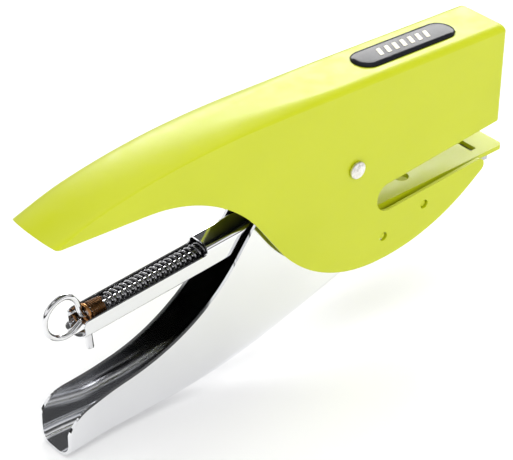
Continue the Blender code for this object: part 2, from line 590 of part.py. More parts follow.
def make_driver(axes):
    half = BLADE_WIDTH / 2
    blade_outline = box_outline(BLADE_REAR, BLADE_FRONT, CEILING_W - 0.4 * MM, CARRIER_TOP)
    blade = prism("driver_blade", blade_outline, -half, half, "hard steel", axes)
    carrier_outline = box_outline(CARRIER_REAR, CARRIER_FRONT, CARRIER_BOTTOM, CARRIER_TOP, 1.2 * MM)
    carrier = prism("driver_carrier", carrier_outline, -half, half, "hard steel", axes)
    slack = DRIVER_PIN_DIAMETER / 2 + 0.2 * MM
    slot = box_outline(DRIVER_PIN_U - slack - 0.2 * MM, DRIVER_PIN_U + slack + 1.0 * MM,
                       DRIVER_PIN_W - slack, DRIVER_PIN_W + slack, slack * 0.9, 5)
    cut(carrier, prism("carrier_slot", slot, -10 * MM, 10 * MM, parent=axes))
    rivet_w = CARRIER_TOP - 1.1 * MM
    for side, y in (("right", -half / 2), ("left", half / 2)):
        shank = DRIVER_RIVET_DIAMETER / 2
        head_end = BLADE_FRONT + GAP + 0.4 * MM
        tail = DRIVER_PIN_U + slack + 1.5 * MM
        profile = [(tail, shank), (BLADE_FRONT + GAP, shank), (BLADE_FRONT + GAP, shank * 1.6),
                   (head_end, shank * 1.2)]
        turned_u(f"driver_rivet_{side}", profile, "nickel", axes, 12, at=(y, rivet_w))
        for piece in (blade, carrier):
            bore = [(tail - GAP, shank + GAP), (BLADE_FRONT + MM, shank + GAP)]
            cut(piece, turned_u(f"{piece.name}_{side}_hole", bore, None, axes, 12, at=(y, rivet_w)))
    pin_half = LEVER_HALF_PIVOT + 0.4 * MM
    tube("driver_pin", DRIVER_PIN_DIAMETER / 2, 0, -pin_half, pin_half, "nickel", axes,
         at=(DRIVER_PIN_U, DRIVER_PIN_W), sides=16)


def make_driver_spring(axes):
    """Coil between the magazine's roof and the lever's bridge, which lifts the driver again."""
    foot = Vector((30 * MM, 0, ROOF_W + 0.8 * MM))
    top = DRIVER_PIN_W + 0.2 * MM
    length = top - 0.8 * MM - foot.z
    path = coil_path(foot, Vector((0, 0, 1)), Vector((1, 0, 0)), 2.2 * MM, length, 6, 10)
    sweep("driver_spring", path, 0.35 * MM, "spring steel", axes, 6)
    bridge = box_outline(26 * MM, 34 * MM, top, top + 1.0 * MM)
    half = LEVER_HALF_PIVOT - LEVER_SHEET - GAP
    prism("lever_bridge", bridge, -half, half, "hard steel", axes)


# ---- loader ---------------------------------------------------------------------------------
def make_loader(axes):
    radius = ROD_DIAMETER / 2
    collar_end = COLLAR_U + COLLAR_THICK
    buffer_start = collar_end + GAP
    spring_start = buffer_start + BUFFER_LENGTH + GAP
    stop_u = PUSHER_FRONT - 1.7 * MM
    turned_u("loader_rod", [(COLLAR_U + 0.9 * MM, radius), (stop_u, radius)], "chrome", axes)
    stop = [(stop_u + GAP, radius * 1.7), (stop_u + GAP + 1.0 * MM, radius * 1.7)]
    turned_u("rod_stop", stop, "nickel", axes)
    bore = radius + GAP + COLLAR_RISE
    rim = COLLAR_DIAMETER / 2
    collar = [(COLLAR_U, bore), (COLLAR_U, rim), (collar_end, rim), (collar_end, bore)]
    turned_u("spring_collar", collar, "copper wire", axes, 24, bored=True, at=(0, ROD_W + COLLAR_RISE))
    along = Vector((1, 0, 0))
    up = Vector((0, 0, 1))
    spring_run = PUSHER_REAR - GAP - spring_start
    coils = (
        ("buffer_spring", buffer_start, BUFFER_LENGTH, BUFFER_DIAMETER, BUFFER_WIRE, BUFFER_PITCH, COLLAR_RISE,
         "copper wire"),
        ("pusher_spring", spring_start, spring_run, SPRING_DIAMETER, SPRING_WIRE, SPRING_PITCH, 0, "spring steel"),
    )
    for name, start, length, diameter, wire, pitch, rise, colour in coils:
        run = length - wire
        turns = round(run / pitch)
        middle = (diameter - wire) / 2
        path = coil_path(Vector((start + wire / 2, 0, ROD_W)), along, up, middle, run, turns, 7)
        path = [point + up * (rise * (1 - (point.x - start) / length)) for point in path]
        sweep(name, path, wire / 2, colour, axes, 4)
    make_ring(axes)


def make_ring(axes):
    """Pull ring: wire from the rod's end up and round a loop, and back under the rod towards the pin."""
    centre = Vector((RING_CENTRE_U, 0, ROD_W + RING_RISE))
    radius = RING_DIAMETER / 2
    start = Vector((COLLAR_U, 0, ROD_W + 0.1 * MM))
    rises = ((0, 0), (-0.9, 0.8), (-1.35, 2.2), (-1.55, 4.0), (-2.2, 6.0), (-3.4, 7.7))
    path = [start + Vector((u * MM, 0, w * MM)) for u, w in rises]
    first, last = math.radians(82), math.radians(288)
    for k in range(21):
        angle = first + (last - first) * k / 20
        path.append(centre + Vector((math.cos(angle), 0, math.sin(angle))) * radius)
    path.append(Vector((COLLAR_U - 1.4 * MM, 0, ROD_W - 1.5 * MM)))
    sweep("pull_ring", path, RING_WIRE / 2, "chrome", axes, 8)
    pin_u = COLLAR_U + 0.05 * MM
    pin = LATCH_DIAMETER / 2
    bm = bmesh.new()
    sides = 12
    loops = []
    for r, w in ((pin * 0.75, LATCH_TIP_W), (pin, LATCH_TIP_W + 0.4 * MM), (pin, LATCH_TOP_W)):
        angles = [2 * math.pi * k / sides for k in range(sides)]
        loops.append([bm.verts.new((pin_u + r * math.cos(a), r * math.sin(a), w)) for a in angles])
    bridge_and_cap(bm, loops)
    to_object("latch_pin", bm, "chrome", axes)


def make_pusher(axes):
    half = MAGAZINE_BORE_HALF - GAP
    block = prism("pusher", box_outline(PUSHER_REAR, PUSHER_FRONT, FLOOR_W + GAP, CEILING_W - GAP),
                  -half, half, "nickel", axes)
    radius = ROD_DIAMETER / 2
    bore = [(PUSHER_REAR - MM, radius + GAP), (PUSHER_FRONT + MM, radius + GAP)]
    cut(block, turned_u("pusher_bore", bore, None, axes))
    wide = radius * 1.7 + GAP
    sink = [(PUSHER_FRONT - 1.7 * MM, wide), (PUSHER_FRONT + MM, wide)]
    cut(block, turned_u("pusher_sink", sink, None, axes))


# ---- lever ----------------------------------------------------------------------------------
def lever_half_width(x):
    tail = (LEVER_HALF_TAIL - LEVER_HALF_GRIP) * ease((-78 * MM - x) / (18 * MM))
    front = (LEVER_HALF_PIVOT - LEVER_HALF_GRIP) * ease((x + 70 * MM) / (28 * MM))
    return LEVER_HALF_GRIP + tail + front


def lever_floor_outline():
    return [(LEVER_TAIL, LEVER_TAIL_Z, 0), (-46 * MM, -52.9 * MM, 200 * MM), (2 * MM, -36.6 * MM, 6 * MM)]


def lever_floor(x):
    """Height of the channel's floor: two straight runs joined by a long arc."""
    (x0, z0, _), (x1, z1, radius), (x2, z2, _) = lever_floor_outline()
    first = math.atan2(z1 - z0, x1 - x0)
    second = math.atan2(z2 - z1, x2 - x1)
    reach = radius * math.tan((second - first) / 2)
    arc_start = x1 - reach * math.cos(first)
    arc_end = x1 + reach * math.cos(second)
    if x <= arc_start:
        return z1 + (x - x1) * math.tan(first)
    if x >= arc_end:
        return z1 + (x - x1) * math.tan(second)
    centre_x = arc_start - radius * math.sin(first)
    centre_z = z1 - reach * math.sin(first) + radius * math.cos(first)
    return centre_z - math.sqrt(radius ** 2 - (x - centre_x) ** 2)


def lever_section(x, inset, rim, arc_steps=5):
    half = lever_half_width(x) - inset
    floor_z = lever_floor(x) + inset
    corner = LEVER_CORNER - inset
    side = [(half, rim)]
    for k in range(arc_steps + 1):
        angle = math.pi / 2 * k / arc_steps
        side.append((half - corner + corner * math.cos(angle), floor_z + corner - corner * math.sin(angle)))
    return [Vector((x, -y, z)) for y, z in side] + [Vector((x, y, z)) for y, z in reversed(side)]


def lever_side_outline():
    """Side view of the lever: grip channel, pivot cheeks and the arms to the driver pin."""
    below = LEVER_TAIL_Z - 10 * MM
    return rounded([
        (LEVER_TAIL - 0.2 * MM, below, 0), (LEVER_TAIL + 0.4 * MM, -43.2 * MM, 9.5 * MM),
        (-52.4 * MM, -34.2 * MM, 58 * MM),
        (-20.5 * MM, 10.3 * MM, 12 * MM), (-6 * MM, 19.5 * MM, 12 * MM),
        (LEVER_ARM_END, 19.5 * MM, 4 * MM), (LEVER_ARM_END, 9.5 * MM, 3 * MM), (12 * MM, -0.5 * MM, 6 * MM),
        (6.2 * MM, -10 * MM, 6 * MM), (3.5 * MM, -35.3 * MM, 5 * MM),
        (-4 * MM, lever_floor(-4 * MM) - 0.3 * MM, 4 * MM), (-12 * MM, below, 0),
    ])


def make_lever(parent, axes):
    rim = 30 * MM
    last = LEVER_ARM_END + 5 * MM
    rear = [LEVER_TAIL - 2 * MM + 54 * MM * k / 16 for k in range(17)]
    front = [-31 * MM, -16 * MM, 3.5 * MM, last]
    outer = [lever_section(x, 0.0, rim) for x in rear + front]
    inner = [lever_section(x, LEVER_SHEET, rim) for x in rear + front]
    lever = skin("lever", outer, inner, "chrome", parent, front_closed=False)
    far = 12 * MM
    cut(lever, prism("lever_trim", lever_side_outline(), -far, far, parent=parent), "INTERSECT")
    bulge = [(LEVER_TAIL + LEVER_TAIL_BULGE * (y / 4) ** 2, LEVER_HALF_TAIL * y / 4) for y in range(-7, 8)]
    tail = [(last + MM, bulge[0][1])] + bulge + [(last + MM, bulge[-1][1])]
    cut(lever, prism("lever_tail_end", tail, -80 * MM, 40 * MM, parent=parent, axis="Z"), "INTERSECT")
    cut(lever, tube("lever_pivot_hole", HOLE_RADIUS, 0, -far, far, parent=parent))
    cut(lever, tube("driver_pin_hole", DRIVER_PIN_DIAMETER / 2 + 0.25 * MM, 0, -far, far, parent=axes,
                    at=(DRIVER_PIN_U, DRIVER_PIN_W)))


def empty(name, parent=None):
    made = bpy.data.objects.new(name, None)
    bpy.context.scene.collection.objects.link(made)
    made.parent = parent
    return made


def main():
    for obj in list(bpy.data.objects):
        bpy.data.objects.remove(obj, do_unlink=True)
    root = empty("stapler_root")
    root.location = (-(HANDLE_TIP + ANVIL_FRONT) / 2, 0, -LEVER_TAIL_Z)
    axes = empty("magazine_axes", root)
    axes.rotation_euler = (0, -MAGAZINE_PITCH, 0)
    make_body(root)
    make_badge(root)
    make_anvil(root)
    make_pivot(root)
    make_return_spring(axes)
    make_magazine(axes)
    make_driver(axes)
    make_driver_spring(axes)
    make_loader(axes)
    make_pusher(axes)
    make_lever(root, axes)
    bpy.context.view_layer.update()


main()
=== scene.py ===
"""Plier stapler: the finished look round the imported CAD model, with its studio, light and camera.

Every mesh is built in the row frame, in metres.  Two drawing spaces are used: BODY has its origin on the
pivot rivet's axis, and MAGAZINE is that space pitched up by the magazine's rest angle (u forward, w up).
"""
import json
import math

import bmesh
import bpy
from mathutils import Matrix, Vector


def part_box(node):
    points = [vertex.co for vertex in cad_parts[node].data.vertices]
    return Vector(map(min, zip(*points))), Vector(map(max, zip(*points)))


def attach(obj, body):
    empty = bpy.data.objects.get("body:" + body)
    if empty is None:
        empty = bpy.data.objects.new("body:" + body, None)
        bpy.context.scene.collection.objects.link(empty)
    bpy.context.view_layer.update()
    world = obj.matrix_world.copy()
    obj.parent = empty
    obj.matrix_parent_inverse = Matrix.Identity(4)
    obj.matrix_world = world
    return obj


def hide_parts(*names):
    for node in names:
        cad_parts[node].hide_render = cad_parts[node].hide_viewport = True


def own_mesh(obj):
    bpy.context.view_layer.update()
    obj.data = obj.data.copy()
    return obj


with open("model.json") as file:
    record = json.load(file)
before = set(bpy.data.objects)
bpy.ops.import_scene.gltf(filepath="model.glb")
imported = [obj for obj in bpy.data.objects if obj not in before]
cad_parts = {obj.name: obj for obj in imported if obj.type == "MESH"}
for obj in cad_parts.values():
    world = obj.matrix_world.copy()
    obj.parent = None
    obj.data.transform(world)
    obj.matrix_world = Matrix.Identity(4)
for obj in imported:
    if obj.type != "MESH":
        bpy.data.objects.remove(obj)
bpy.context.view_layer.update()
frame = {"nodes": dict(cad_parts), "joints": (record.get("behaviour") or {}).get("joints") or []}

MM = 0.001
GAP = 0.3 * MM

# ---- places read from the frame ---------------------------------------------------------------
joints = {joint["name"]: joint for joint in frame["joints"]}
PIVOT = Vector(joints["magazine_hinge"]["pos_m"])
BACKWARD = Vector(joints["loader_slide"]["axis"])
PITCH = math.asin(-BACKWARD.z)
BODY = Matrix.Translation(PIVOT)
MAGAZINE = BODY @ Matrix.Rotation(-PITCH, 4, "Y")


def low(node):
    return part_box(node)[0]


def high(node):
    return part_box(node)[1]


HALF_WIDTH = high("body_shell").y
HEAD_FRONT = high("body_shell").x - PIVOT.x
HEAD_TOP = high("body_shell").z - PIVOT.z
HANDLE_TIP = low("body_shell").x - PIVOT.x
JAW_BOTTOM = low("body_shell").z - PIVOT.z
LEVER_TAIL = low("lever").x - PIVOT.x
LEVER_TAIL_Z = low("lever").z - PIVOT.z
LEVER_HALF_TAIL = high("lever").y
ANVIL_FRONT = high("anvil_plate").x - PIVOT.x
ANVIL_HALF = high("anvil_plate").y
MAGAZINE_HALF = high("magazine_tube").y
RIVET_END = high("pivot_rivet").y
BADGE_TOP = high("badge").z - PIVOT.z

# ---- sheet and section sizes --------------------------------------------------------------------
BODY_SHEET = 1.0 * MM
LEVER_SHEET = 0.9 * MM
MAGAZINE_SHEET = 0.8 * MM
HANDLE_BEND_START = -25.0 * MM
HANDLE_DROP = 11.5 * MM
HANDLE_DROP_POWER = 2.3
FRONT_RADIUS = 1.5 * MM
LEVER_HALF_PIVOT = 6.2 * MM
LEVER_HALF_GRIP = 5.75 * MM
LEVER_CORNER = 4.0 * MM
FLOOR_W = -9.9 * MM                 # inside floor of the magazine
BOTTOM_W = FLOOR_W - MAGAZINE_SHEET
ROOF_W = -3.1 * MM                  # top of the magazine's closed part
TROUGH_RIM_W = -5.9 * MM
TUBE_REAR = -48.0 * MM
TUBE_FRONT = 51.3 * MM
NOSE_FRONT = 53.2 * MM
TROUGH_REAR = -89.2 * MM
TONGUE_REAR = -91.2 * MM
ROD_W = -6.9 * MM
COLLAR_U = -86.3 * MM
COLLAR_RISE = 0.5 * MM
HOLE_RADIUS = 2.3 * MM
RIVET_RADIUS = 2.0 * MM
DRIVER_PIN_BORE = 1.75 * MM
ANVIL_PIN_BORE = 1.4 * MM
ANVIL_PIN_RADIUS = 1.1 * MM


# ==== materials ==================================================================================
class Shader:
    """A Principled material that is put together node by node."""

    def __init__(self, name, colour, roughness, metallic=0.0, **sockets):
        self.material = bpy.data.materials.new(name)
        self.material.use_nodes = True
        self.tree = self.material.node_tree
        self.principled = self.tree.nodes["Principled BSDF"]
        self.set("Base Color", (*colour, 1))
        self.set("Roughness", roughness)
        self.set("Metallic", metallic)
        for key, value in sockets.items():
            self.set(key.replace("_", " "), value)
        self.place = self.node("ShaderNodeTexCoord").outputs["Object"]

    def set(self, socket, value):
        self.principled.inputs[socket].default_value = value

    def node(self, kind, **settings):
        made = self.tree.nodes.new(kind)
        for key, value in settings.items():
            setattr(made, key, value)
        return made

    def link(self, output, target):
        self.tree.links.new(output, target)

    def stretched(self, scale):
        """Object coordinates scaled unevenly, for brushing and drawn lines."""
        mapping = self.node("ShaderNodeMapping")
        mapping.inputs["Scale"].default_value = scale
        self.link(self.place, mapping.inputs["Vector"])
        return mapping.outputs["Vector"]

    def noise(self, scale, detail=3.0, roughness=0.5, place=None):
        made = self.node("ShaderNodeTexNoise")
        made.inputs["Scale"].default_value = scale
        made.inputs["Detail"].default_value = detail
        made.inputs["Roughness"].default_value = roughness
        self.link(place or self.place, made.inputs["Vector"])
        return made.outputs["Fac"]

    def ramp(self, source, *stops):
        made = self.node("ShaderNodeValToRGB")
        band = made.color_ramp
        while len(band.elements) < len(stops):
            band.elements.new(0.5)
        for element, (position, colour) in zip(band.elements, stops):
            element.position = position
            element.color = (*colour, 1)
        self.link(source, made.inputs["Fac"])
        return made.outputs["Color"]

    def span(self, source, low_value, high_value, start=0.3, end=0.7):
        made = self.node("ShaderNodeMapRange")
        made.inputs["From Min"].default_value = start
        made.inputs["From Max"].default_value = end
        made.inputs["To Min"].default_value = low_value
        made.inputs["To Max"].default_value = high_value
        self.link(source, made.inputs["Value"])
        return made.outputs["Result"]

    def math(self, operation, *sources):
        made = self.node("ShaderNodeMath", operation=operation)
        for source, socket in zip(sources, made.inputs):
            self.link(source, socket)
        return made.outputs["Value"]

    def blend(self, first, second, amount):
        """From the colour output first to the fixed colour second, as amount goes from 0 to 1."""
        made = self.node("ShaderNodeMixRGB")
        self.link(first, made.inputs["Color1"])
        made.inputs["Color2"].default_value = (*second, 1)
        self.link(amount, made.inputs["Fac"])
        return made.outputs["Color"]

    def colour_from(self, output):
        self.link(output, self.principled.inputs["Base Color"])

    def roughness_from(self, output):
        self.link(output, self.principled.inputs["Roughness"])

    def bump(self, height, strength, distance):
        made = self.node("ShaderNodeBump")
        made.inputs["Strength"].default_value = strength
        made.inputs["Distance"].default_value = distance
        self.link(height, made.inputs["Height"])
        if self.principled.inputs["Normal"].is_linked:
            self.link(self.principled.inputs["Normal"].links[0].from_socket, made.inputs["Normal"])
        self.link(made.outputs["Normal"], self.principled.inputs["Normal"])


def lime_paint():
    """Baked enamel on steel: even colour, faint orange peel, a soft sheen; painted shade, near black, deep
    inside the handle.
    """
    shader = Shader("lime_enamel", (0.50, 0.55, 0.005), 0.34)
    cloud = shader.noise(35, 2)
    paint = shader.ramp(cloud, (0.3, (0.490, 0.540, 0.004)), (0.7, (0.515, 0.565, 0.007)))
    # painted shade: the faces deep inside the handle are blended to near black
    shader.colour_from(shader.blend(paint, (0.020, 0.022, 0.016), painted_handle_shade(shader)))
    shader.roughness_from(shader.span(shader.noise(260, 4), 0.31, 0.42))
    shader.bump(shader.noise(900, 2), 0.12, 0.05 * MM)
    shader.bump(shader.noise(140, 2), 0.10, 0.15 * MM)
    return shader.material


def painted_handle_shade(shader):
    """1 on the faces deep inside the handle, where shade is painted near black, and 0 everywhere else."""
    split = shader.node("ShaderNodeSeparateXYZ")
    shader.link(shader.place, split.inputs["Vector"])
    facing = shader.node("ShaderNodeSeparateXYZ")
    shader.link(shader.node("ShaderNodeNewGeometry").outputs["True Normal"], facing.inputs["Vector"])
    across = shader.math("ABSOLUTE", split.outputs["Y"])
    between_sides = shader.span(across, 1, 0, HALF_WIDTH - 0.75 * MM, HALF_WIDTH - 0.65 * MM)
    behind_pivot = shader.span(split.outputs["X"], 1, 0, PIVOT.x - 4 * MM, PIVOT.x + 14 * MM)
    above_edge = shader.span(split.outputs["Z"], 0, 1, PIVOT.z - 12 * MM, PIVOT.z + 4 * MM)
    not_on_top = shader.span(facing.outputs["Z"], 1, 0, 0.2, 0.3)
    inside = shader.math("MULTIPLY", between_sides, not_on_top)
    return shader.math("MULTIPLY", inside, shader.math("MULTIPLY", behind_pivot, above_edge))


def chrome(name="chrome_plate", tint=(0.84, 0.845, 0.86), base=0.05, top=0.14):
    """Bright chrome with handling haze and hairlines."""
    shader = Shader(name, tint, base, 1.0)
    haze = shader.noise(60, 5, 0.6)
    shader.roughness_from(shader.span(haze, base, top, 0.35, 0.75))
    hairlines = shader.noise(300, 3, 0.6, shader.stretched((0.25, 5, 5)))
    shader.bump(hairlines, 0.05, 0.02 * MM)
    cloud = shader.noise(25, 2)
    darker = tuple(value * 0.95 for value in tint)
    shader.colour_from(shader.ramp(cloud, (0.3, darker), (0.7, tint)))
    return shader.material


def spring_wire():
    shader = Shader("bright_spring_wire", (0.34, 0.34, 0.35), 0.12, 1.0)
    mottle = shader.noise(900, 4)
    shader.colour_from(shader.ramp(mottle, (0.3, (0.24, 0.24, 0.25)), (0.7, (0.42, 0.42, 0.43))))
    shader.roughness_from(shader.span(shader.noise(500, 3), 0.08, 0.18))
    return shader.material


def copper_wire(name="coppered_wire", depth=1.0):
    """Copper-coloured wire; depth below 1 darkens its colour evenly."""
    shader = Shader(name, (0.62, 0.30, 0.12), 0.25, 1.0)
    mottle = shader.noise(700, 4, 0.6)
    tones = ((0.25, (0.30, 0.13, 0.05)), (0.55, (0.62, 0.29, 0.10)), (0.8, (0.80, 0.43, 0.16)))
    stops = [(at, tuple(value * depth for value in tone)) for at, tone in tones]
    shader.colour_from(shader.ramp(mottle, *stops))
    shader.roughness_from(shader.span(shader.noise(400, 3), 0.18, 0.38))
    return shader.material


def nickel():
    """Peened rivet metal with small pits and rub marks."""
    shader = Shader("rivet_nickel", (0.72, 0.70, 0.66), 0.3, 1.0)
    marks = shader.noise(700, 5, 0.65)
    shader.colour_from(shader.ramp(marks, (0.30, (0.46, 0.44, 0.40)), (0.48, (0.74, 0.72, 0.68)),
                                   (0.75, (0.84, 0.83, 0.80))))
    shader.roughness_from(shader.span(marks, 0.42, 0.22))
    shader.bump(marks, 0.35, 0.06 * MM)
    return shader.material


def tool_steel():
    shader = Shader("ground_tool_steel", (0.50, 0.50, 0.52), 0.34, 1.0)
    grain = shader.noise(500, 4, 0.6, shader.stretched((6, 0.5, 0.5)))
    shader.colour_from(shader.ramp(grain, (0.3, (0.36, 0.36, 0.38)), (0.7, (0.58, 0.58, 0.60))))
    shader.roughness_from(shader.span(grain, 0.26, 0.44))
    shader.bump(grain, 0.15, 0.03 * MM)
    return shader.material


def badge_black():
    shader = Shader("badge_gloss_black", (0.012, 0.012, 0.016), 0.12, Specular_IOR_Level=0.12)
    shader.roughness_from(shader.span(shader.noise(220, 4), 0.09, 0.2))
    shader.bump(shader.noise(350, 2), 0.06, 0.05 * MM)
    return shader.material


def badge_cream():
    shader = Shader("badge_cream_ink", (0.78, 0.74, 0.58), 0.4)
    tone = shader.noise(500, 3)
    shader.colour_from(shader.ramp(tone, (0.3, (0.70, 0.66, 0.50)), (0.7, (0.82, 0.79, 0.65))))
    return shader.material


def floor_paper():
    shader = Shader("white_sweep", (0.95, 0.95, 0.95), 0.85)
    shader.set("Specular IOR Level", 0.15)
    tone = shader.noise(6, 3)
    shader.colour_from(shader.ramp(tone, (0.3, (0.945, 0.945, 0.945)), (0.7, (0.955, 0.955, 0.955))))
    return shader.material


LIME = lime_paint()
CHROME = chrome()
WIRE_CHROME = chrome("ring_chrome", (0.82, 0.82, 0.83), 0.05, 0.12)
SPRING = spring_wire()
COPPER = copper_wire()
# the short coil's copper colour, darkened evenly to 0.28 of the plain wire
COPPER_DARK = copper_wire("darkened_coppered_wire", 0.28)
NICKEL = nickel()
STEEL = tool_steel()
BLACK = badge_black()
CREAM = badge_cream()


# ==== mesh tools =================================================================================
def rounded(corners, steps=14):
    """A closed outline from corners (x, z, radius), each turned into a tangent arc."""
    outline = []
    count = len(corners)
    for i, (x, z, radius) in enumerate(corners):
        here = Vector((x, z))
        if radius <= 0:
            outline.append(here)
            continue
        back = (Vector(corners[i - 1][:2]) - here).normalized()
        ahead = (Vector(corners[(i + 1) % count][:2]) - here).normalized()
        half = back.angle(ahead) / 2
        centre = here + (back + ahead).normalized() * (radius / math.sin(half))
        reach = radius / math.tan(half)
        start = here + back * reach - centre
        sweep_angle = start.angle_signed(here + ahead * reach - centre)
        for k in range(steps + 1):
            turned = start.copy()
            turned.rotate(Matrix.Rotation(-sweep_angle * k / steps, 2))
            outline.append(centre + turned)
    return outline


def box_outline(x0, x1, z0, z1, radius=0.0, steps=6):
    return rounded([(x0, z0, radius), (x1, z0, radius), (x1, z1, radius), (x0, z1, radius)], steps)


def ring_points(radius, sides):
    return [(radius * math.cos(2 * math.pi * k / sides), radius * math.sin(2 * math.pi * k / sides))
            for k in range(sides)]


def ease(t):
    t = min(1.0, max(0.0, t))
    return t * t * (3 - 2 * t)


def solid(name, bm, space, smooth_angle=35):
    """A mesh object in the row frame, from a bmesh that was drawn in one of the two spaces."""
    bmesh.ops.recalc_face_normals(bm, faces=bm.faces)
    bmesh.ops.transform(bm, matrix=space, verts=bm.verts)
    mesh = bpy.data.meshes.new(name)
    bm.to_mesh(mesh)
    bm.free()
    mesh.shade_smooth()
    mesh.set_sharp_from_angle(angle=math.radians(smooth_angle))
    made = bpy.data.objects.new(name, mesh)
    bpy.context.scene.collection.objects.link(made)
    return made


def bridge(bm, loops, closed=False):
    """Skins a row of equal loops; the row's ends are capped, or joined to each other when closed."""
    count = len(loops[0])
    pairs = list(zip(loops, loops[1:]))
    if closed:
        pairs.append((loops[-1], loops[0]))
    for a, b in pairs:
        for i in range(count):
            j = (i + 1) % count
            bm.faces.new((a[i], a[j], b[j], b[i]))
    if not closed:
        bm.faces.new(loops[0])
        bm.faces.new(list(reversed(loops[-1])))


def prism(name, outline, start, end, space, axis="Y"):
    """An outline pushed from start to end along Y, or along Z or X when axis says so."""
    order = {
        "X": lambda p, d: (d, p[0], p[1]),
        "Y": lambda p, d: (p[0], d, p[1]),
        "Z": lambda p, d: (p[0], p[1], d),
    }[axis]
    bm = bmesh.new()
    bridge(bm, [[bm.verts.new(order(p, d)) for p in outline] for d in (start, end)])
    return solid(name, bm, space)


def turned(name, profile, space, axis="Y", at=(0.0, 0.0), sides=48, bored=False):
    """A turned piece; profile lists (along, radius).  at is the axis' place across the drawing."""
    order = {
        "X": lambda a, p: (a, at[0] + p[0], at[1] + p[1]),
        "Y": lambda a, p: (at[0] + p[0], a, at[1] + p[1]),
        "Z": lambda a, p: (at[0] + p[0], at[1] + p[1], a),
    }[axis]
    bm = bmesh.new()
    bridge(bm, [[bm.verts.new(order(a, p)) for p in ring_points(r, sides)] for a, r in profile], bored)
    return solid(name, bm, space)


def swept(name, path, radius, space, sides):
    """A round wire along a path, with its ends domed."""
    dome = ((0.35, 0.88), (0.55, 0.55))
    bm = bmesh.new()
    loops = []
    side = None
    last = len(path) - 1
    for i, point in enumerate(path):
        ahead = (path[min(i + 1, last)] - path[max(i - 1, 0)]).normalized()
        side = side - ahead * side.dot(ahead) if side else ahead.orthogonal()
        side.normalize()
        other = ahead.cross(side)
        rings = [(0.0, 1.0)]
        if i == 0:
            rings = [(-forward, size) for forward, size in reversed(dome)] + rings
        elif i == last:
            rings += dome
        for forward, size in rings:
            centre = point + ahead * (radius * forward)
            loops.append([bm.verts.new(centre + side * (x * size) + other * (y * size))
                          for x, y in ring_points(radius, sides)])
    bridge(bm, loops)
    return solid(name, bm, space, 60)


def coil(centre, axis, start_side, radius, length, turns, steps):
    """The middle line of a coil, from centre along axis, with steps points for each turn."""
    other = axis.cross(start_side)
    count = int(round(turns * steps))
    path = []
    for k in range(count + 1):
        angle = 2 * math.pi * k / steps
        out = start_side * (radius * math.cos(angle)) + other * (radius * math.sin(angle))
        path.append(centre + axis * (length * k / count) + out)
    return path


def smooth_path(points, steps):
    """A Catmull-Rom curve through the points."""
    full = [points[0] * 2 - points[1]] + points + [points[-1] * 2 - points[-2]]
    path = []
    for a, b, c, d in zip(full, full[1:], full[2:], full[3:]):
        for k in range(steps):
            t = k / steps
            path.append(0.5 * ((2 * b) + (c - a) * t + (2 * a - 5 * b + 4 * c - d) * t ** 2
                               + (3 * b - a - 3 * c + d) * t ** 3))
    return path + [points[-1]]


def sheet_skin(name, outer, inner, space, front_closed):
    """Sheet metal from matching outer and inner rows of points, one row for each station."""
    bm = bmesh.new()
    out = [[bm.verts.new(p) for p in row] for row in outer]
    inn = [[bm.verts.new(p) for p in row] for row in inner]
    last = len(out[0]) - 1
    for rows in (out, inn):
        for a, b in zip(rows, rows[1:]):
            for j in range(last):
                bm.faces.new((a[j], a[j + 1], b[j + 1], b[j]))
    for (a, b), (c, d) in zip(zip(out, out[1:]), zip(inn, inn[1:])):
        for j in (0, last):
            bm.faces.new((a[j], b[j], d[j], c[j]))
    for j in range(last):
        bm.faces.new((out[0][j], out[0][j + 1], inn[0][j + 1], inn[0][j]))
    if front_closed:
        bm.faces.new(out[-1])
        bm.faces.new(inn[-1])
        bm.faces.new((out[-1][0], out[-1][last], inn[-1][last], inn[-1][0]))
    else:
        for j in range(last):
            bm.faces.new((out[-1][j], out[-1][j + 1], inn[-1][j + 1], inn[-1][j]))
    return solid(name, bm, space)


def combine(target, tools, operation="DIFFERENCE"):
    """Cuts, unites or intersects target with each tool, for good, and takes the tools away."""
    for tool in tools:
        step = target.modifiers.new(tool.name, "BOOLEAN")
        step.operation = operation
        step.solver = "EXACT"
        step.object = tool
    settle(target)
    for tool in tools:
        bpy.data.objects.remove(tool, do_unlink=True)


def settle(target):
    """Applies an object's modifiers to its mesh."""
    graph = bpy.context.evaluated_depsgraph_get()
    made = bpy.data.meshes.new_from_object(target.evaluated_get(graph))
    target.modifiers.clear()
    target.data = made


def soften(target, width, segments, smooth_angle=40):
    """Rolled edges: cleans what the cuts left, then bevels every sharp edge."""
    bm = bmesh.new()
    bm.from_mesh(target.data)
    bmesh.ops.remove_doubles(bm, verts=bm.verts, dist=0.004 * MM)
    bmesh.ops.dissolve_limit(bm, angle_limit=math.radians(0.3), verts=bm.verts, edges=bm.edges)
    bm.to_mesh(target.data)
    bm.free()
    step = target.modifiers.new("rolled_edges", "BEVEL")
    step.width = width
    step.segments = segments
    step.limit_method = "ANGLE"
    step.angle_limit = math.radians(32)
    step.use_clamp_overlap = True
    settle(target)
    target.data.shade_smooth()
    target.data.set_sharp_from_angle(angle=math.radians(smooth_angle))
    weigh = target.modifiers.new("even_shading", "WEIGHTED_NORMAL")
    weigh.keep_sharp = True
    weigh.weight = 60
    settle(target)


def show(piece, material, body, slot, *nodes):
    """Gives a finished piece its material, the body it rides on and the CAD nodes it stands for."""
    piece.data.materials.clear()
    piece.data.materials.append(material)
    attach(piece, body)
    if nodes:
        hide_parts(*nodes)


# ==== pressed body ===============================================================================
def crown(x):
    """Height of the body's top line: level over the head, then falling to the handle's tip."""
    fall = max(0.0, (HANDLE_BEND_START - x) / (HANDLE_BEND_START - HANDLE_TIP))
    return HEAD_TOP - HANDLE_DROP * fall ** HANDLE_DROP_POWER


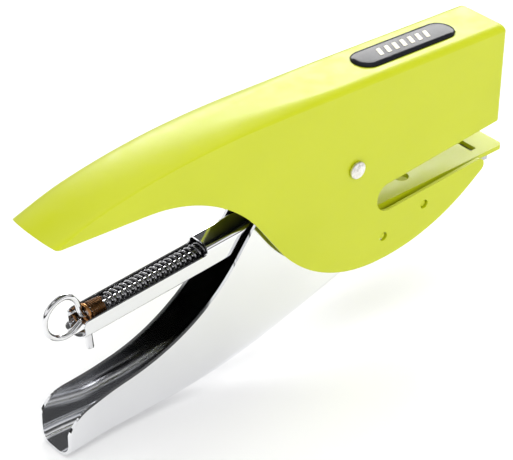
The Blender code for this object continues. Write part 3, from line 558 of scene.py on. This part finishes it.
def body_section(x, inset, floor_z, arc_steps=14):
    """Half ring of the body at x, moved inwards by inset, from the lower left edge over the top."""
    arching = ease(-x / (62 * MM))
    at_tip = ease((-84 * MM - x) / (20 * MM))
    round_y = 2.7 * MM + (HALF_WIDTH - 2.7 * MM) * arching
    round_z = 1.75 * MM - 0.15 * MM * arching + 1.2 * MM * at_tip
    half = HALF_WIDTH - inset
    round_y -= inset
    round_z = max(0.4 * MM, round_z - inset)
    top = crown(x) - inset
    side = [(half, floor_z), (half, top - round_z)]
    for k in range(1, arc_steps + 1):
        angle = math.pi / 2 * k / arc_steps
        across = half - round_y + round_y * math.cos(angle)
        side.append((across, top - round_z + round_z * math.sin(angle)))
    side.append((max(0.0, half - round_y) * 0.5, top))
    return [Vector((x, -y, z)) for y, z in side] + [Vector((x, y, z)) for y, z in reversed(side)]


def front_inset(x):
    """How far the head's section shrinks at x, which rounds the front edges."""
    depth = max(0.0, x - (HEAD_FRONT - FRONT_RADIUS))
    return FRONT_RADIUS - math.sqrt(max(0.0, FRONT_RADIUS ** 2 - depth ** 2))


def body_outline():
    """Side view of the body below its top line, with the throat between head and jaw."""
    above = HEAD_TOP + 15 * MM
    ahead = HEAD_FRONT + 0.3 * MM
    return rounded([
        (HANDLE_TIP - 2 * MM, 16.5 * MM, 0), (HANDLE_TIP + 2.5 * MM, 13.1 * MM, 4 * MM),
        (-47.5 * MM, 12.3 * MM, 47.2 * MM), (-13.7 * MM, JAW_BOTTOM, 43.2 * MM),
        (29.3 * MM, JAW_BOTTOM, 62.2 * MM), (HEAD_FRONT + 0.2 * MM, -13.8 * MM, 2.2 * MM),
        (8.6 * MM, -18.6 * MM, 4.3 * MM), (8.6 * MM, -9.7 * MM, 4.3 * MM),
        (ahead, -3.7 * MM, 1.8 * MM), (ahead, above, 0), (HANDLE_TIP - 2 * MM, above, 0),
    ], 24)


def badge_outline(grow):
    """Plan of the badge, a long shape with round ends, enlarged all round by grow."""
    box_low, box_high = low("badge"), high("badge")
    half = box_high.y + grow
    rear = box_low.x - PIVOT.x - grow
    front = box_high.x - PIVOT.x + grow
    return box_outline(rear, front, -half, half, half - 0.15 * MM, 14)


def anvil_pin_places():
    """Each anvil pin's node with its place in the side view."""
    places = []
    for node in ("anvil_pin_front", "anvil_pin_rear"):
        middle = (low(node) + high(node)) / 2 - PIVOT
        places.append((node, middle.x, middle.z))
    return places


def through_hole(name, reach, radius, space, at=(0.0, 0.0)):
    """A cutter for a round hole across the whole tool."""
    return turned(name, [(-reach, radius), (reach, radius)], space, at=at)


def make_body():
    deep = JAW_BOTTOM - 10 * MM
    rear = [HANDLE_TIP + (HANDLE_BEND_START - HANDLE_TIP) * k / 48 for k in range(49)]
    middle = [-18 * MM, -11 * MM, -5 * MM, 1.3 * MM, 9 * MM, 21 * MM, 33 * MM, 45 * MM]
    front = [HEAD_FRONT - FRONT_RADIUS * (1 - math.sin(math.pi / 2 * k / 8)) for k in range(9)]
    outer, inner = [], []
    for x in rear + middle + front:
        turned_in = front_inset(x)
        outer.append(body_section(x, turned_in, deep))
        back = min(x, HEAD_FRONT - BODY_SHEET - 0.001 * (HEAD_FRONT - x))
        inner.append(body_section(back, BODY_SHEET + 0.2 * turned_in, deep))
    shell = sheet_skin("stapler_body", outer, inner, BODY, True)
    combine(shell, [prism("trim", body_outline(), -15 * MM, 15 * MM, BODY)], "INTERSECT")
    far = 20 * MM
    corner = 2.0 * MM
    beside = HALF_WIDTH + 0.01 * MM
    past = 80 * MM
    plan = rounded([
        (HANDLE_TIP, -beside, corner), (HANDLE_TIP, beside, corner), (-past, beside, 0), (-past, far, 0),
        (past, far, 0), (past, -far, 0), (-past, -far, 0), (-past, -beside, 0),
    ], 10)
    combine(shell, [prism("tip_plan", plan, -past, past, BODY, "Z")], "INTERSECT")
    cutters = [through_hole("pivot_hole", far, HOLE_RADIUS, BODY)]
    for node, x, z in anvil_pin_places():
        cutters.append(through_hole(node + "_hole", far, ANVIL_PIN_BORE, BODY, (x, z)))
    pocket_floor = low("badge").z - PIVOT.z - GAP
    cutters.append(prism("badge_pocket", badge_outline(0.25 * MM), pocket_floor, far * 2, BODY, "Z"))
    combine(shell, cutters)
    soften(shell, 0.22 * MM, 3)
    show(shell, LIME, "frame", "lime_paint", "body_shell")


def make_badge():
    base = low("badge").z - PIVOT.z
    rise = BADGE_TOP - base
    bm = bmesh.new()
    levels = [(0.0, base), (0.0, base + 0.45 * rise)]
    for k in range(1, 7):
        angle = math.pi / 2 * k / 6
        levels.append((1.5 * MM * (1 - math.cos(angle)), base + rise * (0.45 + 0.42 * math.sin(angle))))
    levels.append((2.6 * MM, BADGE_TOP - 0.1 * MM))
    bridge(bm, [[bm.verts.new((p[0], p[1], z)) for p in badge_outline(-inset)] for inset, z in levels])
    show(solid("badge_lozenge", bm, BODY, 50), BLACK, "frame", "black_badge", "badge")
    make_badge_bars()


def make_badge_bars():
    """A plain row of slanted bars printed thick along the middle of the badge."""
    middle = (low("badge").x + high("badge").x) / 2 - PIVOT.x
    pitch, tall, corner = 2.9 * MM, 1.75 * MM, 0.25 * MM
    outside, inside = 1.35 * MM, 0.05 * MM
    levels = (BADGE_TOP - 0.25 * MM, BADGE_TOP)
    bm = bmesh.new()
    for k in range(-3, 4):
        x = middle + pitch * k
        bar = rounded([(x - outside, -tall, corner), (x + inside, -tall, corner),
                       (x + outside, tall, corner), (x - inside, tall, corner)], 3)
        bridge(bm, [[bm.verts.new((p[0], p[1], z)) for p in bar] for z in levels])
    show(solid("badge_bars", bm, BODY), CREAM, "frame", "black_badge")


def anvil_top(x):
    """Height of the anvil plate's upper face, which rises 2.5 degrees to the front."""
    return -15.7 * MM + math.tan(math.radians(2.5)) * (x - 50.4 * MM)


def make_anvil():
    """Anvil plate with its two flanges, its staple slot and its round hole."""
    rear = low("anvil_plate").x - PIVOT.x
    sheet = 1.4 * MM
    profile = [(rear, anvil_top(rear)), (ANVIL_FRONT, anvil_top(ANVIL_FRONT)),
               (ANVIL_FRONT, anvil_top(ANVIL_FRONT) - sheet), (rear, anvil_top(rear) - sheet)]
    plate = prism("anvil", profile, -ANVIL_HALF, ANVIL_HALF, BODY)
    far = 40 * MM
    corner = 1.7 * MM
    plan = rounded([(rear - MM, -ANVIL_HALF - MM, 0), (rear - MM, ANVIL_HALF + MM, 0),
                    (ANVIL_FRONT + 0.02 * MM, ANVIL_HALF + 0.02 * MM, corner),
                    (ANVIL_FRONT + 0.02 * MM, -ANVIL_HALF - 0.02 * MM, corner)], 8)
    combine(plate, [prism("corners", plan, -far, far, BODY, "Z")], "INTERSECT")
    deep = anvil_top(rear) - sheet
    flange = rounded([(rear + 0.5 * MM, deep + 0.6 * MM, 0), (rear + 0.5 * MM, -30 * MM, 2 * MM),
                      (24 * MM, -27.5 * MM, 4 * MM), (44 * MM, -20.5 * MM, 1.5 * MM),
                      (44 * MM, deep + 1.8 * MM, 0)], 8)
    near, beyond = ANVIL_HALF - 1.19 * MM, ANVIL_HALF - 0.01 * MM
    walls = [prism(f"flange_{side}", flange, side * near, side * beyond, BODY) for side in (-1, 1)]
    combine(plate, walls, "UNION")
    slot = box_outline(51.5 * MM, 53.7 * MM, -3.3 * MM, 3.3 * MM, 0.3 * MM)
    cutters = [prism("slot", slot, -far, far, BODY, "Z")]
    hole = [(26.6 * MM + x, y) for x, y in ring_points(2.3 * MM, 40)]
    cutters.append(prism("hole", hole, -far, far, BODY, "Z"))
    for node, x, z in anvil_pin_places():
        cutters.append(through_hole(node + "_bore", far, ANVIL_PIN_BORE, BODY, (x, z)))
    combine(plate, cutters)
    soften(plate, 0.2 * MM, 3)
    show(plate, LIME, "frame", "lime_paint", "anvil_plate")


def make_anvil_pins():
    """The two painted pins that hold the anvil, with rounded ends."""
    radius = ANVIL_PIN_RADIUS
    for node, x, z in anvil_pin_places():
        reach = high(node).y
        ends = [(reach, radius * 0.55), (reach - 0.12 * MM, radius * 0.85), (reach - 0.35 * MM, radius)]
        profile = [(-y, r) for y, r in ends] + [(y, r) for y, r in reversed(ends)]
        show(turned("painted_" + node, profile, BODY, at=(x, z)), LIME, "frame", "lime_paint", node)


def make_rivet():
    """The main rivet, with a shallow domed head on each side."""
    head = (high("pivot_rivet").x - low("pivot_rivet").x) / 2
    face = HALF_WIDTH + 0.28 * MM
    depth = RIVET_END - face
    ends = []
    for k in range(7):
        angle = math.pi / 2 * k / 6
        along = face + depth * (0.55 + 0.35 * math.sin(angle))
        ends.append((along, head - 0.45 * MM * (1 - math.cos(angle))))
    ends.append((RIVET_END, head * 0.45))
    half = [(0.0, RIVET_RADIUS), (face, RIVET_RADIUS), (face, head)] + ends
    profile = [(-y, r) for y, r in reversed(half)] + half[1:]
    show(turned("pivot_rivet_finished", profile, BODY, sides=64), NICKEL, "frame", "nickel", "pivot_rivet")


# ==== magazine ===================================================================================
def make_magazine():
    """Open trough at the back, closed tube at the front, ears round the rivet and a tongue behind."""
    half = MAGAZINE_HALF
    far = 30 * MM
    section = rounded([(-half, BOTTOM_W, 0.9 * MM), (half, BOTTOM_W, 0.9 * MM),
                       (half, ROOF_W, 1.9 * MM), (-half, ROOF_W, 1.9 * MM)], 10)
    tube = prism("magazine_channel", section, TONGUE_REAR, NOSE_FRONT, MAGAZINE, "X")
    side = rounded([
        (TONGUE_REAR - MM, BOTTOM_W - MM, 0), (far * 2, BOTTOM_W - MM, 0), (far * 2, ROOF_W + MM, 0),
        (TUBE_REAR - 0.2 * MM, ROOF_W + MM, 0), (TUBE_REAR - 0.8 * MM, TROUGH_RIM_W, 1.1 * MM),
        (TROUGH_REAR, TROUGH_RIM_W, 1.6 * MM), (TROUGH_REAR, FLOOR_W + 0.1 * MM, 0.6 * MM),
        (TONGUE_REAR - MM, FLOOR_W + 0.1 * MM, 0),
    ], 10)
    corner, beside = 2.4 * MM, half + 0.01 * MM
    plan = rounded([(TONGUE_REAR, -beside, corner), (TONGUE_REAR, beside, corner),
                    (far * 2, beside, 0), (far * 2, -beside, 0)], 10)
    combine(tube, [prism("tongue_plan", plan, -far, far, MAGAZINE, "Z")], "INTERSECT")
    combine(tube, [prism("side", side, -far, far, MAGAZINE)], "INTERSECT")
    ear = rounded([(9 * MM, ROOF_W - 2 * MM, 0), (9 * MM, ROOF_W, 0), (5 * MM, 5 * MM, 4.9 * MM),
                   (-5 * MM, 5 * MM, 4.9 * MM), (-9 * MM, ROOF_W, 0), (-9 * MM, ROOF_W - 2 * MM, 0)], 8)
    combine(tube, [prism("ears", ear, -half, half, MAGAZINE)], "UNION")
    bore = half - 0.5 * MM
    inner = rounded([(-bore, FLOOR_W, 0.3 * MM), (bore, FLOOR_W, 0.3 * MM),
                     (bore, ROOF_W - 0.5 * MM, 1.4 * MM), (-bore, ROOF_W - 0.5 * MM, 1.4 * MM)], 8)
    cutters = [prism("bore", inner, -120 * MM, 80 * MM, MAGAZINE, "X")]
    notch = box_outline(-120 * MM, COLLAR_U + 1.9 * MM, -far, FLOOR_W + 0.05 * MM, 1.2 * MM)
    spaces = (
        ("ear_space", box_outline(-16 * MM, 16 * MM, ROOF_W, 9 * MM), bore),
        ("nose_space", box_outline(TUBE_FRONT, 80 * MM, -far, far), bore),
        ("latch_notch", notch, 1.4 * MM),
    )
    cutters += [prism(name, outline, -width, width, MAGAZINE) for name, outline, width in spaces]
    cutters.append(through_hole("ear_hole", far, HOLE_RADIUS, MAGAZINE))
    combine(tube, cutters)
    soften(tube, 0.14 * MM, 2)
    show(tube, CHROME, "magazine", "chrome", "magazine_tube")


# ==== loader =====================================================================================
def make_rod():
    radius = 1.1 * MM
    stop_u = TUBE_FRONT - 2.1 * MM
    profile = [(COLLAR_U + 0.9 * MM, radius * 0.8), (COLLAR_U + 1.1 * MM, radius), (stop_u, radius)]
    rod = turned("loader_rod_finished", profile, MAGAZINE, "X", (0, ROD_W), 24)
    show(rod, CHROME, "loader", "chrome", "loader_rod")


def make_collar():
    """A round ring of coppered wire that ends the short coil."""
    bore, rim = 2.15 * MM, 2.7 * MM
    middle = (bore + rim) / 2
    section = []
    for k in range(16):
        angle = 2 * math.pi * k / 16
        along = COLLAR_U + 0.4 * MM * (1 + math.cos(angle))
        section.append((along, middle + (rim - bore) / 2 * math.sin(angle)))
    at = (0, ROD_W + COLLAR_RISE)
    collar = turned("spring_collar_finished", section, MAGAZINE, "X", at, 56, True)
    show(collar, COPPER, "loader", "copper_wire", "spring_collar")


def make_latch_pin():
    radius = 1.1 * MM
    tip = FLOOR_W - 7.95 * MM
    steps = [(tip, 0.75), (tip + 0.1 * MM, 0.92), (tip + 0.4 * MM, 1.0), (FLOOR_W + 0.45 * MM, 1.0)]
    profile = [(w, share * radius) for w, share in steps]
    pin = turned("latch_pin_finished", profile, MAGAZINE, "Z", (COLLAR_U + 0.05 * MM, 0), 32)
    show(pin, WIRE_CHROME, "loader", "chrome", "latch_pin")


def make_coils():
    """The short copper-coloured coil at the collar and the long steel coil in front of it."""
    along, up = Vector((1, 0, 0)), Vector((0, 0, 1))
    start = COLLAR_U + 1.1 * MM
    length = 4.7 * MM
    wire = 0.26 * MM
    middle = Vector((start + wire, 0, ROD_W))
    path = coil(middle, along, up, 2.65 * MM - wire, length - 2 * wire, 7, 28)
    path = [point + up * (COLLAR_RISE * (1 - (point.x - start) / length)) for point in path]
    buffer = swept("buffer_coil", path, wire, MAGAZINE, 10)
    show(buffer, COPPER_DARK, "loader", "copper_wire", "buffer_spring")
    start += length + GAP
    wire = 0.40 * MM
    pitch = 1.65 * MM
    end = TUBE_FRONT - 0.4 * MM - 7.4 * MM - GAP
    run = end - start - 2 * wire
    middle = Vector((start + wire, 0, ROD_W))
    path = coil(middle, along, up, 2.8 * MM - wire, run, round(run / pitch), 20)
    spring = swept("pusher_coil", path, wire, MAGAZINE, 8)
    show(spring, SPRING, "loader", "spring_steel", "pusher_spring")
    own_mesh(spring)


def make_ring():
    """Pull ring: from the rod's end up and round the loop, and back under the rod towards the pin."""
    radius = 6.1 * MM
    wire = 0.85 * MM
    centre = Vector((COLLAR_U - 6.1 * MM, 0, ROD_W + 2.8 * MM))
    first_angle, last_angle = 82, 288
    first = Vector((COLLAR_U, 0, ROD_W + 0.1 * MM))
    rises = ((0, 0), (-0.9, 0.8), (-1.35, 2.2), (-1.55, 4.0), (-2.2, 6.0), (-3.4, 7.7))
    points = [first + Vector((u * MM, 0, w * MM)) for u, w in rises]
    for k in range(14):
        angle = math.radians(first_angle + (last_angle - first_angle) * k / 13)
        points.append(centre + Vector((math.cos(angle), 0, math.sin(angle))) * radius)
    points.append(Vector((COLLAR_U - 1.4 * MM, 0, ROD_W - 1.5 * MM)))
    ring = swept("pull_ring_finished", smooth_path(points, 8), wire, MAGAZINE, 20)
    show(ring, WIRE_CHROME, "loader", "chrome", "pull_ring")


# ==== lever ======================================================================================
def lever_half_width(x):
    """Half the lever's width: narrowest at the grip, wider at the tail and at the pivot."""
    tail = (LEVER_HALF_TAIL - LEVER_HALF_GRIP) * ease((-78 * MM - x) / (18 * MM))
    front = (LEVER_HALF_PIVOT - LEVER_HALF_GRIP) * ease((x + 70 * MM) / (28 * MM))
    return LEVER_HALF_GRIP + tail + front


def lever_floor(x):
    """Height of the channel's floor: two straight runs joined by a long arc."""
    x0, z0 = LEVER_TAIL, LEVER_TAIL_Z
    x1, z1 = -46 * MM, -52.9 * MM
    x2, z2 = 2 * MM, -36.6 * MM
    radius = 200 * MM
    first = math.atan2(z1 - z0, x1 - x0)
    second = math.atan2(z2 - z1, x2 - x1)
    reach = radius * math.tan((second - first) / 2)
    arc_start = x1 - reach * math.cos(first)
    arc_end = x1 + reach * math.cos(second)
    if x <= arc_start:
        return z1 + (x - x1) * math.tan(first)
    if x >= arc_end:
        return z1 + (x - x1) * math.tan(second)
    centre_x = arc_start - radius * math.sin(first)
    centre_z = z1 - reach * math.sin(first) + radius * math.cos(first)
    return centre_z - math.sqrt(radius ** 2 - (x - centre_x) ** 2)


def lever_section(x, inset, rim, arc_steps=12):
    """The lever's channel at x, moved inwards by inset, from one upper edge round to the other."""
    half = lever_half_width(x) - inset
    floor_z = lever_floor(x) + inset
    corner = LEVER_CORNER - inset
    side = [(half, rim)]
    for k in range(arc_steps + 1):
        angle = math.pi / 2 * k / arc_steps
        across = half - corner + corner * math.cos(angle)
        side.append((across, floor_z + corner - corner * math.sin(angle)))
    return [Vector((x, -y, z)) for y, z in side] + [Vector((x, y, z)) for y, z in reversed(side)]


def lever_outline():
    """Side view of the lever: what lies inside it is kept of the channel."""
    below = LEVER_TAIL_Z - 10 * MM
    arm_end = 50 * MM
    return rounded([
        (LEVER_TAIL - 0.2 * MM, below, 0), (LEVER_TAIL + 0.4 * MM, -43.2 * MM, 9.5 * MM),
        (-52.4 * MM, -34.2 * MM, 58 * MM),
        (-20.5 * MM, 10.3 * MM, 12 * MM), (-6 * MM, 19.5 * MM, 12 * MM), (arm_end, 19.5 * MM, 4 * MM),
        (arm_end, 9.5 * MM, 3 * MM), (12 * MM, -0.5 * MM, 6 * MM), (6.2 * MM, -10 * MM, 6 * MM),
        (3.5 * MM, -35.3 * MM, 5 * MM), (-4 * MM, lever_floor(-4 * MM) - 0.3 * MM, 4 * MM),
        (-12 * MM, below, 0),
    ], 20)


def make_lever():
    """The squeeze lever: a channel trimmed to its side view, with a bowed tail."""
    rim = 30 * MM
    end = 55 * MM
    tail_bulge = 1.1 * MM
    stations = [LEVER_TAIL - 2 * MM + 60 * MM * k / 60 for k in range(61)]
    stations += [-31 * MM, -16 * MM, 3.5 * MM, end]
    outer = [lever_section(x, 0.0, rim) for x in stations]
    inner = [lever_section(x, LEVER_SHEET, rim) for x in stations]
    lever = sheet_skin("squeeze_lever", outer, inner, BODY, False)
    far = 12 * MM
    combine(lever, [prism("trim", lever_outline(), -far, far, BODY)], "INTERSECT")
    bulge = [(LEVER_TAIL + tail_bulge * (y / 8) ** 2, LEVER_HALF_TAIL * y / 8) for y in range(-14, 15)]
    plan = [(end + MM, bulge[0][1])] + bulge + [(end + MM, bulge[-1][1])]
    combine(lever, [prism("tail", plan, -90 * MM, 50 * MM, BODY, "Z")], "INTERSECT")
    driver_pin = (47 * MM, 9 * MM)
    combine(lever, [through_hole("pivot_hole", far, HOLE_RADIUS, BODY),
                    through_hole("pin_hole", far, DRIVER_PIN_BORE, MAGAZINE, driver_pin)])
    soften(lever, 0.14 * MM, 2, smooth_angle=32)
    show(lever, CHROME, "lever", "chrome", "lever")


# ==== hidden works ===============================================================================
def finish_works():
    """Materials for the CAD nodes that are shown as they are."""
    looks = {
        STEEL: ("anvil_die", "driver_blade", "driver_carrier", "lever_bridge", "inner_washer_left",
                "inner_washer_right", "outer_washer_left", "outer_washer_right"),
        NICKEL: ("driver_pin", "driver_rivet_left", "driver_rivet_right", "pusher", "rod_stop"),
        CHROME: ("nose_plate",),
    }
    for material, nodes in looks.items():
        for node in nodes:
            for place in frame["nodes"][node].material_slots:
                place.material = material


def make_hidden_springs():
    """The two springs that open the tool."""
    along, up, across = Vector((1, 0, 0)), Vector((0, 0, 1)), Vector((0, 1, 0))
    wire = 0.35 * MM
    end_room = 0.8 * MM
    under_bridge = 9.2 * MM
    foot = Vector((30 * MM, 0, ROOF_W + end_room))
    length = under_bridge - end_room - foot.z
    path = coil(foot, up, along, 2.2 * MM, length, 6, 24)
    lifter = swept("lever_lift_coil", path, wire, MAGAZINE, 10)
    show(lifter, SPRING, "magazine", "spring_steel", "driver_spring")
    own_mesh(lifter)
    wire = 0.3 * MM
    radius = 2.5 * MM
    span = 5.5 * MM
    turns = coil(Vector((0, -span / 2, 0)), across, up, radius, span, 4.75, 24)
    leg = 13 * MM
    under_top = HEAD_TOP - BODY_SHEET - 4 * GAP - wire
    upper = Matrix.Rotation(PITCH, 3, "Y") @ Vector((-leg, -span / 2, under_top))
    on_roof = ROOF_W + GAP + wire
    lower = [Vector((-radius - 2 * MM, span / 2, on_roof + 0.6 * MM)), Vector((-leg, span / 2, on_roof))]
    path = [upper, turns[0] + Vector((-1.5 * MM, 0, 1.0 * MM))] + turns + lower
    opener = swept("opening_spring", path, wire, MAGAZINE, 10)
    show(opener, SPRING, "magazine", "spring_steel", "return_spring")
    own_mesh(opener)


# ==== studio =====================================================================================
def make_floor():
    bm = bmesh.new()
    bmesh.ops.create_grid(bm, x_segments=2, y_segments=2, size=6.0)
    floor = solid("studio_floor", bm, Matrix.Identity(4))
    floor.data.materials.append(floor_paper())


def make_world():
    """A light tent: a dark slit at the table's edge, bright walls, a dark band, and light overhead."""
    world = bpy.data.worlds.new("light_tent")
    bpy.context.scene.world = world
    world.use_nodes = True
    tree = world.node_tree
    background = tree.nodes["Background"]
    place = tree.nodes.new("ShaderNodeTexCoord")
    split = tree.nodes.new("ShaderNodeSeparateXYZ")
    band = tree.nodes.new("ShaderNodeValToRGB")
    tree.links.new(place.outputs["Generated"], split.inputs["Vector"])
    tree.links.new(split.outputs["Z"], band.inputs["Fac"])
    tree.links.new(band.outputs["Color"], background.inputs["Color"])
    stops = (
        (0.0, 0.02), (0.13, 0.04),
        (0.23, 0.95), (0.50, 1.0),
        (0.60, 0.08), (0.80, 0.12),
        (0.90, 0.7), (1.0, 0.9),
    )
    ramp = band.color_ramp
    while len(ramp.elements) < len(stops):
        ramp.elements.new(0.5)
    for element, (position, value) in zip(ramp.elements, stops):
        element.position = position
        element.color = (value, value, value * 1.01, 1)
    background.inputs["Strength"].default_value = 1.0


def add_light(name, place, aim, size, power, glossy):
    data = bpy.data.lights.new(name, "AREA")
    data.shape = "RECTANGLE"
    data.size, data.size_y = size
    data.energy = power
    light = bpy.data.objects.new(name, data)
    bpy.context.scene.collection.objects.link(light)
    light.location = place
    light.rotation_mode = "QUATERNION"
    light.rotation_quaternion = (Vector(aim) - Vector(place)).to_track_quat("-Z", "Y")
    light.visible_glossy = glossy       # False: lights the tool without showing in the chrome


def make_lights():
    middle = (0, 0, 0.05)
    add_light("ceiling_softbox", (0.0, 0.0, 1.3), middle, (1.8, 1.8), 11, False)
    add_light("near_softbox", (-0.1, -1.1, 0.7), middle, (1.2, 0.8), 8, False)
    add_light("far_softbox", (0.68, 0.80, 0.60), middle, (0.9, 0.26), 7, True)


def make_camera():
    """The view from the near side, above and behind, through a long lens."""
    place = PIVOT + Vector((-322.92, -353.34, 282.30)) * MM
    turn, tilt, roll = math.radians(39.902), math.radians(32.718), math.radians(0.884)
    forward = Vector((math.sin(turn) * math.cos(tilt), math.cos(turn) * math.cos(tilt), -math.sin(tilt)))
    level = Vector((math.cos(turn), -math.sin(turn), 0))
    upright = level.cross(forward)
    right = level * math.cos(roll) + upright * math.sin(roll)
    up = upright * math.cos(roll) - level * math.sin(roll)
    data = bpy.data.cameras.new("camera")
    data.lens = 140.456
    data.sensor_width = 36
    data.clip_start = 0.05
    data.clip_end = 50
    camera = bpy.data.objects.new("camera", data)
    bpy.context.scene.collection.objects.link(camera)
    axes = Matrix((right, up, -forward)).transposed().to_4x4()
    camera.matrix_world = Matrix.Translation(place) @ axes
    bpy.context.scene.camera = camera


make_camera()
make_floor()
make_world()
make_lights()
bpy.context.scene.view_settings.view_transform = "Standard"
make_body()
make_badge()
make_anvil()
make_anvil_pins()
make_rivet()
make_magazine()
make_rod()
make_collar()
make_coils()
make_ring()
make_latch_pin()
make_lever()
make_hidden_springs()
finish_works()
